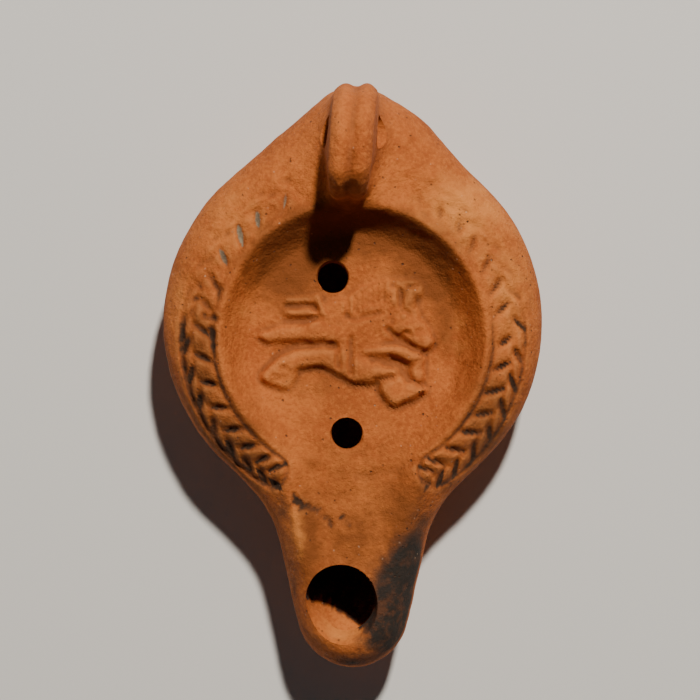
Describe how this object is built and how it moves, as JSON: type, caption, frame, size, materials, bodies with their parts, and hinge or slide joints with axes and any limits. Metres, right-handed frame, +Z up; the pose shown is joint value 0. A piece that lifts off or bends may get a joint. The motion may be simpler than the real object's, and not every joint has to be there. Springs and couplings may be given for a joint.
{
  "type": "oil lamp",
  "caption": "Mould-made terracotta oil lamp with a pierced lug handle, a sunken discus with a running horse in relief, leaf bands and a wick nozzle.",
  "frame": {"origin": "middle of the lamp's length and width, on the plane that its foot ring stands on", "axes": "+Z up, +Y towards the handle, -Y towards the nozzle, +X to the right seen from above with the nozzle towards the viewer"},
  "size_m": [0.08, 0.1223, 0.0494],
  "materials": {
    "terracotta": "matt unglazed fired clay, orange-brown, worn and sooty at the nozzle"
  },
  "bodies": {
    "root": {"oil_lamp": "terracotta"}
  },
  "joints": []
}
